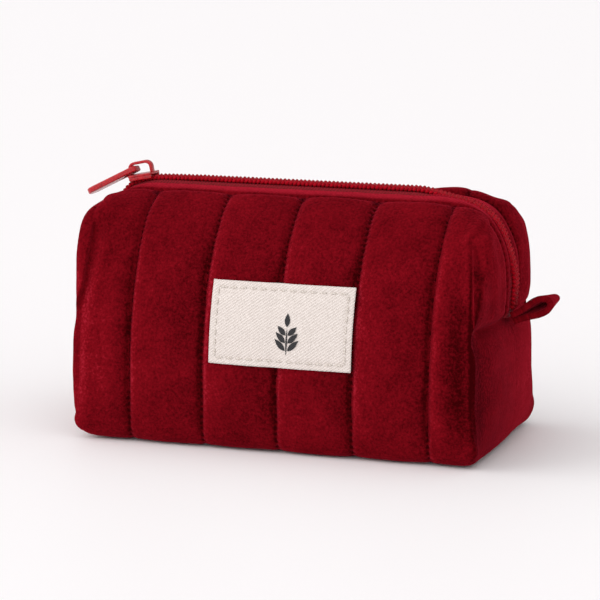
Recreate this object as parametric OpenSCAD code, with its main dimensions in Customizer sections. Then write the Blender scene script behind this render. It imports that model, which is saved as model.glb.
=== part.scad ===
// Quilted velvet box pouch with a coil zipper along the top and down both ends.
// X runs along the zipper (the ribbon loop is at +X), -Y is the side with the label, Z is up.
// The origin is the centre of the flat base.

/* [Body] */
// Length of the body, ribbon loop not counted
body_l = 148; // [134:1:162]
// Depth of the body at its widest, front to back
body_w = 79; // [72:1:88]
// Height of the fabric under the zipper coil
body_h = 88.6; // [84:0.2:96]
// Height at which the mouth folds open
fold_z = 60; // [59.5:0.5:64]
// Height of the seam across each end, where the zipper stops
end_seam_z = 46; // [42:0.5:50]

/* [Layers] */
// Thickness of the velvet
velvet_t = 1.2; // [0.8:0.1:1.4]
// Thickness of the quilting wadding
wadding_t = 2.35; // [1.5:0.05:3]
// Thickness of the lining
lining_t = 0.5; // [0.4:0.05:0.8]
// Air left between one layer and the next
layer_gap = 0.05; // [0.03:0.01:0.1]

/* [Quilting] */
// Distance between two stitched channel lines
channel_pitch = 27; // [24:0.5:29]
// Width of the groove a line of stitches pulls in
groove_w = 0.7; // [0.5:0.1:1.2]
// Depth of that groove
groove_d = 0.6; // [0.4:0.05:0.7]

/* [Zipper] */
// Half width of the gap between the two velvet edges
zip_open = 5; // [4.9:0.1:6]
// Half width of the closed row of coils
coil_half = 2.7; // [2.5:0.1:3]
// Height of the coil
coil_t = 1.8; // [1.7:0.1:2.2]
// Distance from one turn of the coil to the next
coil_pitch = 1.5; // [1.5:0.1:2.2]
// Thickness of the zipper tape
tape_t = 0.7; // [0.5:0.05:0.8]
// Half width of the whole zipper tape, hidden edge included
tape_half = 13; // [12:0.25:14]
// Distance of the topstitching from the velvet edge
topstitch_in = 3.5; // [3:0.1:4.5]

/* [Slider] */
// Length of the slider body
slider_l = 10.4; // [9.5:0.1:11.5]
// Width of the slider body
slider_w = 9; // [8.6:0.1:9.6]
// Place of the closed slider along the zipper
slider_x = -63.5; // [-64:0.25:-61]
// Tilt of the slider where the zipper bends down towards the end
slider_tilt = 11; // [9:0.5:11.5]
// Height of the strap over the slider
bail_h = 4.6; // [4.4:0.1:5]
// Length of the pull tab, from its pivot
pull_l = 20.5; // [17:0.5:22]
// Width of the pull tab
pull_w = 6; // [5.4:0.1:7]
// Thickness of the pull tab
pull_t = 1.7; // [1.4:0.1:1.9]
// Angle of the resting pull tab below the slider's own line
pull_drop = 16; // [12:0.5:16.5]

/* [Label] */
// Width of the label
label_w = 51; // [40:0.5:53]
// Height of the label
label_h = 28; // [22:0.5:28]
// Thickness of the label
label_t = 0.7; // [0.5:0.05:0.9]
// Height of the middle of the label
label_z = 45; // [43:0.5:45]
// Distance of the label from the middle, towards the loop
label_x = 1.7; // [-6:0.1:6]

/* [Loop] */
// Width of the ribbon
ribbon_w = 10; // [8:0.5:12]
// Thickness of the ribbon
ribbon_t = 1.5; // [1.2:0.1:1.8]
// Length of the loop
loop_l = 15.5; // [14:0.5:20]
// Upward tilt of the loop
loop_tilt = 27; // [15:1:32]

/* [Hidden] */
half_l = body_l / 2;
half_w = body_w / 2;
big = 400;
eps = 0.02;
step_n = 5;
// one side of the section across the pouch: [share of half the width, share of the height]
side_shape = [[0.745, 0], [0.865, 0.012], [0.945, 0.052], [0.985, 0.13], [1, 0.245], [0.985, 0.37],
    [0.94, 0.51], [0.85, 0.65], [0.715, 0.775], [0.535, 0.88], [0.37, 0.94], [0.235, 0.972]];
roof_flat = 3.4;
// outline along the pouch at each end: [inset from the end, share of the height]; the left end is squarer
right_shape = [[13, 0], [6.3, 0.016], [2.3, 0.066], [0.8, 0.14], [0.2, 0.27], [0.6, 0.42], [1.1, 0.508],
    [0.4, 0.6], [0.2, 0.69], [1.2, 0.79], [3.9, 0.873], [8.8, 0.938], [15.8, 0.979], [24, 0.997], [33, 1.002]];
left_shape = [[13, 0], [6.3, 0.016], [2.3, 0.066], [0.8, 0.14], [0.2, 0.27], [0.5, 0.42], [0.9, 0.508],
    [0.4, 0.6], [0.1, 0.69], [0.3, 0.79], [1.2, 0.86], [3.2, 0.92], [6.4, 0.962], [10.5, 0.984],
    [17, 0.998], [33, 1.002]];
wadding_in = velvet_t + layer_gap;
wadding_out = wadding_in + wadding_t;
lining_in = wadding_out + layer_gap;
lining_out = lining_in + lining_t;
tape_in = wadding_in;
tape_out = tape_in + tape_t;
turn_share = 0.45;
turn_depth = 0.7;
left_bend = 12;
right_bend = 18;
coil_drop = 7;
coil_z_cut = end_seam_z + 3;
coil_thread_in = 0.5;
coil_thread_w = 0.8;
coil_thread_t = 0.3;
fold_gap = 0.4;
mid_gap = 0.3;
line_xs = [-2 * channel_pitch, -channel_pitch, 0, channel_pitch, 2 * channel_pitch];
thread_gap = 0.1;
thread_clear = 0.04;
topstitch_y = zip_open + topstitch_in;
wadding_edge = tape_half + 0.6;
lining_edge = zip_open + 1.5;
// slider, in its own line: height 0 is the middle of the coil
plate_t = 0.8;
plate_r = 3;
plate_taper = 0.6;
plate_cut = 1;
plate_top = coil_t / 2 + 0.4;
plate_low = -coil_t / 2 - tape_t - 1.9;
low_plate_in = 1.2;
flange_t = 1.1;
flange_low = 0.1;
channel_half = coil_half + 0.35;
neck_w = 1.8;
neck_l = 2;
part_x = slider_x + slider_l / 2 - 2;
part_gap = neck_w / 2 + 0.35;
slider_drop = 1.15;
slider_z = body_h - wadding_in + coil_t / 2 - slider_drop;
bail_l = 9.4;
bail_w = 2.4;
bail_t = 1.2;
bail_r = 2.6;
pull_eye = 1.5;
pull_corner = 0.3;
pull_hole_w = bail_w + 0.9;
pull_hole_l = 3.8;
pull_turn_r = 1.45;
pull_x = -bail_l / 2 + bail_t + pull_turn_r + 0.05;
pull_z = plate_top + plate_t + bail_h - bail_t - pull_turn_r;
thread_w = 0.5;
stitch_n = 12;
stitch_side_n = 7;
stitch_in = 2.2;
stitch_share = 0.6;
stitch_rise = 0.35;
loop_root_x = half_l + 0.9;
loop_root_r = 1.5;
loop_gap = 1.7;
loop_hole_from = 0.42;

function curve_at(a, b, c, d, t) =
    0.5 * (2 * b + (c - a) * t + (2 * a - 5 * b + 4 * c - d) * t * t + (3 * b - a - 3 * c + d) * t * t * t);
function smooth(p) = concat(
    [for (i = [0:len(p) - 2]) for (k = [0:step_n - 1])
        curve_at(p[max(i - 1, 0)], p[i], p[i + 1], p[min(i + 2, len(p) - 1)], k / step_n)],
    [p[len(p) - 1]]);
function mirrored(p) = [for (i = [len(p) - 1:-1:0]) [-p[i][0], p[i][1]]];
function wrap_i(i, n) = (i + n) % n;
function toward(p, q) = (q - p) / norm(q - p);
function normal_at(p, i) =
    let (n = len(p), a = toward(p[wrap_i(i - 1, n)], p[i]), b = toward(p[i], p[wrap_i(i + 1, n)]), m = a + b)
    [-m[1], m[0]] * 2 / (m * m);
function inset(p, d) = [for (i = [0:len(p) - 1]) p[i] + d * normal_at(p, i)];

side_curve = concat(smooth([for (s = side_shape) [s[0] * half_w, s[1] * body_h]]), [[roof_flat, body_h]]);
section_pts = concat(side_curve, mirrored(side_curve));
function end_curve(shape) = smooth([for (s = shape) [half_l - s[0], s[1] * body_h]]);
outline_pts = concat(end_curve(right_shape), mirrored(end_curve(left_shape)));

module across(d) {
    rotate([90, 0, 90])
        linear_extrude(height = big, center = true)
            polygon(inset(section_pts, d));
}

module along(d) {
    rotate([90, 0, 0])
        linear_extrude(height = big, center = true)
            polygon(inset(outline_pts, d));
}

module form(d) {
    intersection() {
        across(d);
        along(d);
    }
}

module layer(d_out, d_in) {
    difference() {
        form(d_out);
        form(d_in);
    }
}

module box(x0, x1, y0, y1, z0, z1) {
    translate([x0, y0, z0])
        cube([x1 - x0, y1 - y0, z1 - z0]);
}

module below_fold() {
    box(-big, big, -big, big, -big, fold_z - fold_gap / 2);
}

module front_mouth(y_in) {
    box(-big, big, -big, -y_in, fold_z + fold_gap / 2, big);
}

module mirror_back() {
    mirror([0, 1, 0])
        children();
}

module line_slabs(w) {
    for (x = line_xs)
        box(x - w / 2, x + w / 2, -big, big, -big, big);
}

module wrap_shell() {
    difference() {
        form(0);
        across(velvet_t);
        intersection() {
            layer(-1, groove_d);
            line_slabs(groove_w);
        }
    }
}

module end_shell() {
    difference() {
        intersection() {
            form(0);
            across(velvet_t + layer_gap);
        }
        along(velvet_t);
    }
}

module zipper_slot() {
    box(-big, big, -zip_open, zip_open, end_seam_z, big);
}

module seam_groove() {
    intersection() {
        layer(-1, groove_d);
        box(-big, big, -big, big, end_seam_z - groove_w, end_seam_z);
    }
}

module body_panel() {
    color([0.45, 0.04, 0.08])
        intersection() {
            wrap_shell();
            below_fold();
        }
}

module end_panel(side) {
    color([0.42, 0.035, 0.07])
        difference() {
            intersection() {
                end_shell();
                below_fold();
                box(min(0, side * big), max(0, side * big), -big, big, -big, big);
            }
            zipper_slot();
            seam_groove();
        }
}

module left_end_panel() {
    end_panel(-1);
}

module right_end_panel() {
    end_panel(1);
}

module zipper_room() {
    box(-big, big, -wadding_edge, wadding_edge, end_seam_z - 1, big);
}

module wadding_lower() {
    color([0.9, 0.88, 0.85])
        difference() {
            intersection() {
                layer(wadding_in, wadding_out);
                below_fold();
            }
            zipper_room();
        }
}

module lining_room() {
    box(-big, big, -lining_edge, lining_edge, end_seam_z, big);
}

module lining_lower() {
    color([0.55, 0.12, 0.16])
        difference() {
            intersection() {
                layer(lining_in, lining_out);
                below_fold();
            }
            lining_room();
        }
}

module quilting_threads() {
    intersection() {
        difference() {
            form(thread_gap);
            across(groove_d - thread_clear);
        }
        line_slabs(groove_w - 2 * thread_clear);
    }
}

module quilting_thread_lower() {
    color([0.38, 0.03, 0.06])
        intersection() {
            quilting_threads();
            below_fold();
        }
}

module label_patch(d_in, d_out, w, h) {
    intersection() {
        difference() {
            across(-d_out);
            across(-d_in);
        }
        box(label_x - w / 2, label_x + w / 2, -big, 0, label_z - h / 2, label_z + h / 2);
    }
}

module label() {
    color([0.86, 0.8, 0.68])
        label_patch(eps, label_t, label_w, label_h);
}

module label_stitching() {
    row_w = label_w - 2 * stitch_in;
    row_h = label_h - 2 * stitch_in;
    pitch_x = row_w / stitch_n;
    pitch_z = row_h / stitch_side_n;
    color([0.93, 0.9, 0.82])
        intersection() {
            difference() {
                across(-label_t - stitch_rise);
                across(-label_t - eps);
            }
            translate([label_x, 0, label_z])
                union() {
                    for (i = [0:stitch_n - 1])
                        for (side = [-1, 1])
                            translate([-row_w / 2 + (i + 0.5) * pitch_x, 0, side * row_h / 2])
                                cube([stitch_share * pitch_x, 2 * big, thread_w], center = true);
                    for (i = [0:stitch_side_n - 1])
                        for (side = [-1, 1])
                            translate([side * row_w / 2, 0, -row_h / 2 + (i + 0.5) * pitch_z])
                                cube([thread_w, 2 * big, stitch_share * pitch_z], center = true);
                }
            box(-big, big, -big, 0, -big, big);
        }
}

module front_shoulder() {
    color([0.45, 0.04, 0.08])
        difference() {
            intersection() {
                wrap_shell();
                front_mouth(zip_open);
            }
            topstitch_band(groove_d, -1, groove_w / 2);
        }
}

module corner_piece(side) {
    color([0.42, 0.035, 0.07])
        difference() {
            intersection() {
                end_shell();
                front_mouth(zip_open);
                box(min(0, side * big), max(0, side * big), -big, 0, -big, big);
            }
            topstitch_band(groove_d, -1, groove_w / 2);
        }
}

module front_left_corner() {
    corner_piece(-1);
}

module front_right_corner() {
    corner_piece(1);
}

module front_wadding() {
    color([0.9, 0.88, 0.85])
        intersection() {
            layer(wadding_in, wadding_out);
            front_mouth(wadding_edge);
        }
}

module front_lining() {
    color([0.55, 0.12, 0.16])
        intersection() {
            layer(lining_in, lining_out);
            front_mouth(lining_edge);
        }
}

module topstitch_band(d_in, d_out, half) {
    intersection() {
        layer(d_out, d_in);
        box(-big, big, -topstitch_y - half, -topstitch_y + half, fold_z, big);
    }
}

module front_topstitch() {
    color([0.5, 0.06, 0.1])
        intersection() {
            topstitch_band(groove_d - thread_clear, thread_gap, groove_w / 2 - thread_clear);
            front_mouth(zip_open);
        }
}

module front_quilting_thread() {
    color([0.38, 0.03, 0.06])
        intersection() {
            quilting_threads();
            front_mouth(topstitch_y + groove_w);
        }
}

// the coils part a little ahead of the slider, around its neck
module parted_ends() {
    box(-big, part_x, -part_gap, 0, -big, big);
}

module front_tape() {
    color([0.62, 0.06, 0.11])
        difference() {
            intersection() {
                layer(tape_in, tape_out);
                box(-big, big, -tape_half, -mid_gap / 2, end_seam_z, big);
            }
            parted_ends();
        }
}

module coil_band(d_in, d_out) {
    difference() {
        rotate([90, 0, 0])
            linear_extrude(height = coil_half)
                polygon(inset(outline_pts, d_in));
        along(d_out);
        box(-big, big, -big, big, -big, coil_z_cut);
    }
}

// gaps between the turns: along the top, then down each end
module turns_along(z_low) {
    turn_w = coil_pitch * turn_share;
    for (x = [-half_l + left_bend:coil_pitch:half_l - right_bend])
        box(x, x + turn_w, -coil_half - 1, 0, body_h - coil_drop, big);
    for (z = [z_low:coil_pitch:body_h - left_bend])
        box(-big, -half_l + coil_drop, -coil_half - 1, 0, z, z + turn_w);
    for (z = [z_low:coil_pitch:body_h - right_bend])
        box(half_l - coil_drop, big, -coil_half - 1, 0, z, z + turn_w);
}

module front_coil() {
    root_in = tape_in - layer_gap;
    color([0.6, 0.05, 0.09])
        difference() {
            coil_band(root_in - coil_t, root_in);
            box(-big, big, -mid_gap / 2, big, -big, big);
            parted_ends();
            intersection() {
                turns_along(coil_z_cut + 1);
                difference() {
                    along(root_in - coil_t - 1);
                    along(root_in - coil_t + turn_depth);
                }
            }
        }
}

module front_coil_thread() {
    root_in = tape_in - layer_gap;
    color([0.66, 0.1, 0.14])
        difference() {
            intersection() {
                along(root_in - coil_t - coil_thread_t);
                box(-big, big, -coil_half + coil_thread_in, -coil_half + coil_thread_in + coil_thread_w,
                    coil_z_cut, big);
            }
            along(root_in - coil_t - eps);
        }
}

module back_shoulder() {
    mirror_back()
        front_shoulder();
}

module back_left_corner() {
    mirror_back()
        front_left_corner();
}

module back_right_corner() {
    mirror_back()
        front_right_corner();
}

module back_wadding() {
    mirror_back()
        front_wadding();
}

module back_lining() {
    mirror_back()
        front_lining();
}

module back_tape() {
    mirror_back()
        front_tape();
}

module back_coil() {
    mirror_back()
        front_coil();
}

module back_coil_thread() {
    mirror_back()
        front_coil_thread();
}

module back_topstitch() {
    mirror_back()
        front_topstitch();
}

module back_quilting_thread() {
    mirror_back()
        front_quilting_thread();
}

module at_slider() {
    translate([slider_x, 0, slider_z])
        rotate([0, -slider_tilt, 0])
            children();
}

// a slider plate: rounded ahead, a little narrower behind
plate_back_w = slider_w / 2 - plate_taper;
plate_pts = concat(
    [for (a = [90:15:270])
        [-slider_l / 2 + plate_r + plate_r * cos(a), (slider_w / 2 - plate_r) * sign(sin(a)) + plate_r * sin(a)]],
    [[slider_l / 2 - plate_cut, -plate_back_w], [slider_l / 2, -plate_back_w + plate_cut],
        [slider_l / 2, plate_back_w - plate_cut], [slider_l / 2 - plate_cut, plate_back_w]]);

module plate(z, t) {
    translate([0, 0, z])
        linear_extrude(height = t)
            polygon(plate_pts);
}

// the lower plate, cut short ahead, where the zipper bends down
module low_plate() {
    difference() {
        plate(plate_low - plate_t, plate_t);
        box(-big, -slider_l / 2 + low_plate_in, -big, big, -big, big);
    }
}

module slider_flanges() {
    for (side = [-1, 1])
        translate([0, side * (channel_half + flange_t), (plate_top + flange_low) / 2])
            cube([slider_l, 2 * flange_t, plate_top - flange_low + eps], center = true);
}

module slider_neck() {
    translate([-slider_l / 2, -neck_w / 2, plate_low - eps])
        cube([neck_l, neck_w, plate_top - plate_low + 2 * eps]);
}

module slider_body() {
    color([0.62, 0.03, 0.06])
        at_slider()
            union() {
                plate(plate_top, plate_t);
                low_plate();
                intersection() {
                    plate(plate_low, plate_top - plate_low);
                    union() {
                        slider_flanges();
                        slider_neck();
                    }
                }
            }
}

function bail_arc(r, h, hw) = concat(
    [[hw, 0]],
    [for (a = [0:15:90]) [hw - r + r * cos(a), h - r + r * sin(a)]],
    [for (a = [90:15:180]) [-hw + r + r * cos(a), h - r + r * sin(a)]],
    [[-hw, 0]]);

module slider_bail() {
    color([0.66, 0.04, 0.07])
        at_slider()
            translate([0, 0, plate_top + plate_t + thread_clear / 2])
                rotate([90, 0, 0])
                    linear_extrude(height = bail_w, center = true)
                        difference() {
                            polygon(bail_arc(bail_r, bail_h, bail_l / 2));
                            translate([0, -eps])
                                polygon(bail_arc(bail_r - bail_t, bail_h - bail_t, bail_l / 2 - bail_t));
                        }
}

pull_pts = concat(
    [for (a = [90:15:270]) [pull_l - pull_w / 2 - cos(a) * pull_w / 2, pull_w / 2 * sin(a)]],
    [[-pull_eye / 2, -pull_w / 2 + pull_corner], [-pull_eye / 2, pull_w / 2 - pull_corner]]);

module pull_tab() {
    color([0.6, 0.03, 0.06])
        at_slider()
            translate([pull_x, 0, pull_z])
                rotate([0, -pull_drop, 0])
                    mirror([1, 0, 0])
                        translate([0, 0, -pull_t / 2])
                            difference() {
                                linear_extrude(height = pull_t)
                                    polygon(pull_pts);
                                translate([pull_eye / 2, -pull_hole_w / 2, -1])
                                    cube([pull_hole_l, pull_hole_w, pull_t + 2]);
                            }
}

// closed outline of the folded ribbon: a narrow neck that opens to a rounded end
loop_shape = [[0, 0.62], [0.2, 0.66], [0.4, 0.85], [0.6, 1.15], [0.78, 1.35], [0.9, 1.15], [0.97, 0.6]];
loop_half = ribbon_t + loop_gap / 2;
function loop_side(k) = smooth([for (s = loop_shape) [s[0] * loop_l, s[1] * loop_half * k]]);
loop_outer = concat(loop_side(-1), [[loop_l, 0]], [for (i = [len(loop_side(1)) - 1:-1:0]) loop_side(1)[i]]);

module loop_ribbon() {
    color([0.48, 0.04, 0.08])
        translate([loop_root_x, 0, end_seam_z])
            rotate([90, 0, 0])
                rotate([0, 0, loop_tilt])
                    linear_extrude(height = ribbon_w, center = true)
                        difference() {
                            union() {
                                polygon(loop_outer);
                                circle(r = loop_root_r, $fn = 32);
                            }
                            intersection() {
                                polygon(inset(loop_outer, ribbon_t));
                                translate([loop_hole_from * loop_l, -loop_l])
                                    square([loop_l, 2 * loop_l]);
                            }
                        }
}

body_panel();
left_end_panel();
right_end_panel();
wadding_lower();
lining_lower();
quilting_thread_lower();
label();
label_stitching();
front_shoulder();
front_left_corner();
front_right_corner();
front_wadding();
front_lining();
front_tape();
front_coil();
front_coil_thread();
front_topstitch();
front_quilting_thread();
back_shoulder();
back_left_corner();
back_right_corner();
back_wadding();
back_lining();
back_tape();
back_coil();
back_coil_thread();
back_topstitch();
back_quilting_thread();
slider_body();
slider_bail();
pull_tab();
loop_ribbon();
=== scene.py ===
"""Quilted velvet box pouch: the visual model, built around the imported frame.

Lengths are in millimetres up to make_mesh, which turns them into metres. Colours are linear RGB.
The pouch's velvet, lining and zipper are made by side: -1 is the front half, 1 the back half.
"""

import math

import bmesh
import bpy
import numpy as np
from mathutils import Matrix, Vector, noise


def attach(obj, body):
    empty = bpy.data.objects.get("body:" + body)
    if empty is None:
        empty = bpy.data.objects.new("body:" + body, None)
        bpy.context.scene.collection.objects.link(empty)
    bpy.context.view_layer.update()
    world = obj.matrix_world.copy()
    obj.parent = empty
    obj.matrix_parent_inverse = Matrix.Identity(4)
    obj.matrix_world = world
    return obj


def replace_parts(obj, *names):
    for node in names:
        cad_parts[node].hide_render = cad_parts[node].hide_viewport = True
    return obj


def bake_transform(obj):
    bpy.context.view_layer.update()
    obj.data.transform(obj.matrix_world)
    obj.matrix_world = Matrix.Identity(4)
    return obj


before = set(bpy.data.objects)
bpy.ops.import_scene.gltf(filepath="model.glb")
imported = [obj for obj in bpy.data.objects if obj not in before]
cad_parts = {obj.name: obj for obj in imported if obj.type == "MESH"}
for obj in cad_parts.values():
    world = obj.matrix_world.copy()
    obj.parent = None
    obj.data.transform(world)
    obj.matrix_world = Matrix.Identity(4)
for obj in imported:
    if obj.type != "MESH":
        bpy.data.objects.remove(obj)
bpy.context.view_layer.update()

MM = 0.001
HALF_L, HALF_W, BODY_H = 74.0, 39.5, 88.6
END_SEAM_Z = 46.0
CHANNEL = 27.0  # between two stitched lines
RIM_Y = 3.9  # the velvet's folded edge beside the coil
TOPSTITCH_Y = 8.4
COIL_PITCH = 1.5
STITCH_PITCH = 2.3
SHELL_IN = 1.3  # the unquilted surface lies this far inside the CAD form
PUFF = 1.75  # how far the middle of a channel stands above its stitched lines
RIB_PITCH = 1.1
SEAM_TOP_Z, SEAM_LOW_Z = 75.0, 8.0
SLIDER_AT = (-63.5, 0.0, 87.1)
SLIDER_TILT = math.radians(11)  # it stands on the left bend, nose down
LABEL_W, LABEL_H, LABEL_X, LABEL_Z = 51.0, 28.0, 1.7, 45.0
LABEL_STITCH_IN = 2.2

# One side of the section across the pouch: share of half the width, share of the height.
SIDE_SHAPE = [(0.745, 0), (0.865, 0.012), (0.945, 0.052), (0.985, 0.13), (1, 0.245), (0.985, 0.37),
              (0.94, 0.51), (0.85, 0.65), (0.715, 0.775), (0.535, 0.88), (0.37, 0.94), (0.235, 0.972)]
ROOF_HALF = 3.4
# The outline along the pouch at each end: inset from the end, share of the height.
LOW_SHAPE = [(13, 0), (6.3, 0.016), (2.3, 0.066), (0.8, 0.14), (0.2, 0.27)]
RIGHT_SHAPE = LOW_SHAPE + [(0.6, 0.42), (1.1, 0.508), (0.4, 0.6), (0.2, 0.69), (1.2, 0.79), (3.9, 0.873),
                           (8.8, 0.938), (15.8, 0.979), (24, 0.997), (33, 1.002)]
LEFT_SHAPE = LOW_SHAPE + [(0.5, 0.42), (0.9, 0.508), (0.4, 0.6), (0.1, 0.69), (0.3, 0.79), (1.2, 0.86),
                          (3.2, 0.92), (6.4, 0.962), (10.5, 0.984), (17, 0.998), (33, 1.002)]
# How far the corner seams are drawn in from the ends: height, distance.
RIGHT_PULL = [(0, 0), (3, 0.3), (12, 2.8), (22, 3.8), (37, 3.6), (46, 3.9), (57, 2.9), (66, 2.2),
              (72, 1.4), (77, 0.4), (86, 0)]
RIGHT_BACK_PULL = [(0, 0), (3, 0.3), (12, 2.8), (22, 3.8), (37, 4), (52, 4), (67, 3.6), (77, 3.2), (86, 2)]
LEFT_PULL = [(0, -2.6), (6, -2), (14, -0.3), (22, 0.8), (34, 0.8), (45, 0.3), (55, 1), (67, -0.6),
             (77, -3), (86, -2)]


# ---- curves and fields


def smoothstep(low, high, x):
    t = np.clip((x - low) / (high - low), 0, 1)
    return t * t * (3 - 2 * t)


def smooth_curve(points, steps=6):
    """A Catmull-Rom curve through the points, as part.scad draws it."""
    p = [np.array(q, float) for q in points]
    out = []
    for i in range(len(p) - 1):
        a, b, c, d = p[max(i - 1, 0)], p[i], p[i + 1], p[min(i + 2, len(p) - 1)]
        for t in np.arange(steps) / steps:
            out.append(0.5 * (2 * b + (c - a) * t + (2 * a - 5 * b + 4 * c - d) * t**2
                              + (3 * b - a - 3 * c + d) * t**3))
    return np.array(out + [p[-1]])


def joined(right, left):
    """A closed outline from its right half and its left half, both rising from the base."""
    return np.concatenate([right, left[::-1] * (-1, 1)])


def section_outline():
    half = smooth_curve([(s * HALF_W, h * BODY_H) for s, h in SIDE_SHAPE])
    half = np.concatenate([half, [(ROOF_HALF, BODY_H)]])
    return joined(half, half)


def length_outline():
    shapes = (RIGHT_SHAPE, LEFT_SHAPE)
    return joined(*[smooth_curve([(HALF_L - i, h * BODY_H) for i, h in shape]) for shape in shapes])


SECTION, OUTLINE = section_outline(), length_outline()


def ray_exit(origin, direction, outline):
    """How far each 2D ray runs before it leaves the closed outline."""
    a, b = outline, np.roll(outline, -1, axis=0)
    e = b - a
    o, d = origin[:, None, :], direction[:, None, :]
    denom = d[..., 0] * e[:, 1] - d[..., 1] * e[:, 0]
    denom = np.where(np.abs(denom) < 1e-9, np.nan, denom)
    ap = a - o
    t = (ap[..., 0] * e[:, 1] - ap[..., 1] * e[:, 0]) / denom
    s = (ap[..., 0] * d[..., 1] - ap[..., 1] * d[..., 0]) / denom
    hit = (s >= -1e-6) & (s <= 1 + 1e-6) & (t > 0)
    return np.where(hit, t, 1e4).min(axis=1)


def smooth_min(a, b, k):
    k = np.maximum(k, 0.01)
    h = np.clip(k - np.abs(a - b), 0, None) / k
    return np.minimum(a, b) - h * h * k / 4


def shell_points(origin, target):
    """Where rays from origin towards target leave the pouch's rounded form, and their directions."""
    d = target - origin
    d /= np.linalg.norm(d, axis=1)[:, None]
    across = ray_exit(origin[:, 1:], d[:, 1:], SECTION)
    along = ray_exit(origin[:, ::2], d[:, ::2], OUTLINE)
    x, y, z = np.abs(target).T
    rounding = (1.6 + 5 * smoothstep(78, 90, z)) * smoothstep(40, 58, x)
    rounding *= np.where(z > END_SEAM_Z, smoothstep(3, 14, y), 1)
    return origin + d * smooth_min(across, along, rounding)[:, None]


def field(points, scale, seed):
    """Smooth noise from -1 to 1 at each point, level across y = 0; scale is the size of its lumps."""
    offset = Vector((seed * 13.7, seed * 7.3, seed * 3.1))
    flat = points.copy()
    flat[:, 1] *= np.abs(points[:, 1]) / (np.abs(points[:, 1]) + 4)
    return np.array([noise.noise(Vector(p) / scale + offset) for p in flat])


def band(distance, width):
    return np.exp(-((distance / width) ** 2))


# ---- the velvet shell's grid


def spaced(*runs):
    """Joins (from, to, steps) runs into one rising list of values."""
    values = []
    for low, high, steps in runs:
        values += list(np.linspace(low, high, steps + 1))[(1 if values else 0):]
    return values


NEAR_LINE = [0.0, 0.5, 1.2, 2.1, 3.3, 4.9, 6.8, 9.0, 11.2]  # grid columns, counted from a stitched line
FAN_X = 56.0  # beyond it the rays fan out towards the ends
FAN_Y, FAN_IN = 13.2, 4.3  # beyond FAN_Y the rays towards the front start this far apart


def column_places():
    """(x inside, x outside) of each grid column, with columns on every stitched line."""
    half = NEAR_LINE + [CHANNEL / 2]
    right = []
    for line in (0, CHANNEL):
        right += [line + v for v in half] + [line + CHANNEL - v for v in half[::-1]][1:]
    right = sorted(set(round(v, 4) for v in right)) + [54.5, 55.2, FAN_X]
    outer = (57.7, 59.6, 61.7, 63.8, 66.0, 68.2, 70.2, 71.7, 72.9, HALF_L)
    reach = {1: 6 / 18, -1: 10 / 18}  # the rays fan out less at the squarer left end
    sides = {sign: [(v, v) for v in right] + [(FAN_X + (out - FAN_X) * k, out) for out in outer]
             for sign, k in reach.items()}
    return [(-a, -b) for a, b in sides[-1][:0:-1]] + sides[1]


def row_places():
    """(y inside, y outside) of each grid row from the zipper out; the rays are upright up to FAN_Y."""
    pairs = [(v, v) for v in (0, 1.3, 2.6, RIM_Y, 4.6, 5.6, 6.7, 7.6, 8.0, TOPSTITCH_Y, 8.8, 9.4,
                              10.4, 11.7, FAN_Y)]
    for out in spaced((FAN_Y, 33.2, 12), (33.2, 37.2, 3), (37.2, HALF_W, 3))[1:]:
        pairs.append((FAN_Y + (out - FAN_Y) * FAN_IN / (HALF_W - FAN_Y), out))
    return pairs


def level_places():
    """(z inside, z outside) of each grid level, with one on the end seam."""
    up = [0, 0.5, 1.2, 2.1, 3.3, 4.7, 6.3, 8.1, 10]
    pairs = [(v, v) for v in up]
    for out in spaced((10, 40, 19), (40, 45, 4))[1:]:
        pairs.append((10 + (out - 10) * 14 / 35, out))
    below = [(-a, -b) for a, b in pairs[:0:-1]]
    return [(END_SEAM_Z + a, END_SEAM_Z + b) for a, b in below + pairs]


COLUMNS, ROWS, LEVELS = column_places(), row_places(), level_places()
SLOT_ROW = [a for a, _ in ROWS].index(RIM_Y)
SEAM_LEVEL = len(LEVELS) // 2


def half_grid(first_row):
    """Grid keys (column, row, level) of half the surface, and the faces between them.

    Above the end seams the surface starts at first_row; below them it reaches the middle.
    """
    last_c, last_r, last_l = len(COLUMNS) - 1, len(ROWS) - 1, len(LEVELS) - 1
    faces = []

    def patch(us, vs, key, flip):
        for u in us:
            for v in vs:
                quad = [key(u, v), key(u + 1, v), key(u + 1, v + 1), key(u, v + 1)]
                faces.append(quad[::-1] if flip else quad)

    patch(range(last_c), range(last_l), lambda u, v: (u, last_r, v), False)
    patch(range(last_c), range(first_row, last_r), lambda u, v: (u, v, last_l), True)
    patch(range(last_c), range(last_r), lambda u, v: (u, v, 0), False)
    for column, flip in ((0, False), (last_c, True)):
        patch(range(last_r), range(SEAM_LEVEL), lambda u, v, c=column: (c, u, v), flip)
        patch(range(first_row, last_r), range(SEAM_LEVEL, last_l), lambda u, v, c=column: (c, u, v), flip)
    keys = sorted({k for f in faces for k in f})
    index = {k: i for i, k in enumerate(keys)}
    return keys, np.array([[index[k] for k in f] for f in faces])


def ends_of_rays(keys, side):
    column, row, level = np.array(keys).T
    columns, rows, levels = np.array(COLUMNS), np.array(ROWS), np.array(LEVELS)
    return [np.stack([columns[column, i], side * rows[row, i], levels[level, i]], axis=1) for i in (0, 1)]


def seam_distance(keys, points):
    """How far each point lies from the corner seam: along x on the front, along y elsewhere."""
    column, row, level = np.array(keys).T
    x, y = np.abs(points[:, 0]), np.abs(points[:, 1])
    on_front = row == len(ROWS) - 1
    corner = on_front & (column == len(COLUMNS) - 1)
    order = np.argsort(level[corner])
    seam_x, seam_y = (np.interp(level, level[corner][order], v[corner][order]) for v in (x, y))
    return np.where(on_front, 0, seam_y - y), np.where(on_front, seam_x - x, 99), on_front


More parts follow.
